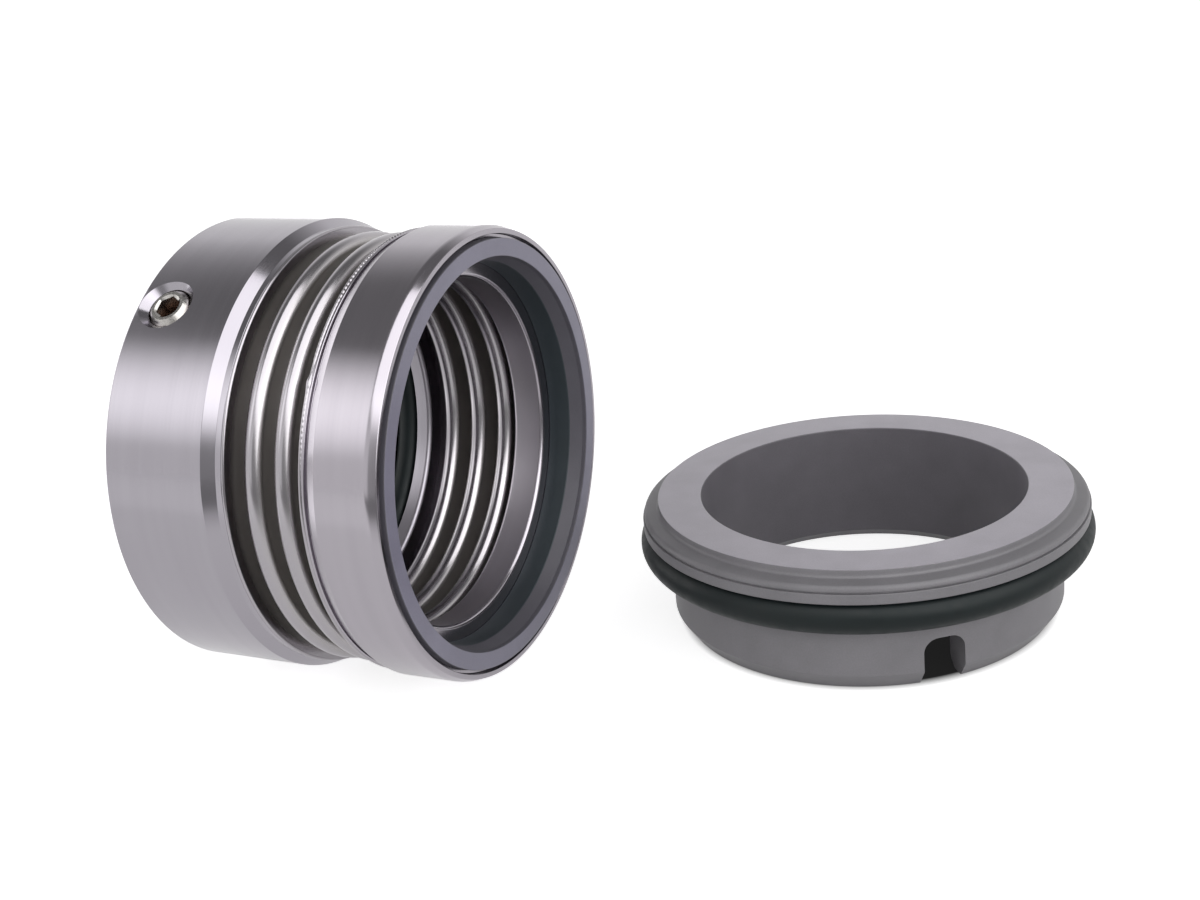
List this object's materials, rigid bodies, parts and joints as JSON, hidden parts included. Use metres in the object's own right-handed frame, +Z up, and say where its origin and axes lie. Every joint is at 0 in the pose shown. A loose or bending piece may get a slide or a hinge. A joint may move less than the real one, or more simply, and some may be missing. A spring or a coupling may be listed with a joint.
{
  "type": "component mechanical seal",
  "caption": "Component mechanical seal: rotary unit with steel bellows, set-screw drive collar and hard face insert, lying beside its flanged stationary seat with O-ring.",
  "frame": {"origin": "on the floor, under the middle of the set's bounding box", "axes": "+Z up and out of the seat's bore; +X along the rotary unit's axis, from its drive collar towards its running face"},
  "size_m": [0.1124, 0.093, 0.0622],
  "materials": {
    "turned_stainless": "turned stainless steel, fine rings from the tool",
    "screw_stainless": "machined stainless steel, bright",
    "bellows_stainless": "formed thin stainless steel, smooth and bright, weld tint at both ends",
    "silicon_carbide": "sintered silicon carbide, ground, with lapped running faces",
    "o_ring_rubber": "moulded fluoroelastomer, near black with a green cast, satin"
  },
  "bodies": {
    "drive_end": {"drive_collar": "turned_stainless", "set_screw_1": "screw_stainless", "set_screw_2": "screw_stainless", "set_screw_3": "screw_stainless", "shaft_o_ring": "o_ring_rubber", "bellows": "bellows_stainless", "seat_ring": "silicon_carbide", "seat_o_ring": "o_ring_rubber"},
    "face_end": {"face_holder": "turned_stainless", "face_insert": "silicon_carbide"}
  },
  "joints": [
    {"name": "bellows_stroke", "type": "slide", "parent": "drive_end", "child": "face_end", "axis": [1, 0, 0], "range_m": [-0.0025, 0.001], "stiffness_N_per_m": 15000, "deforming": ["bellows"]}
  ]
}
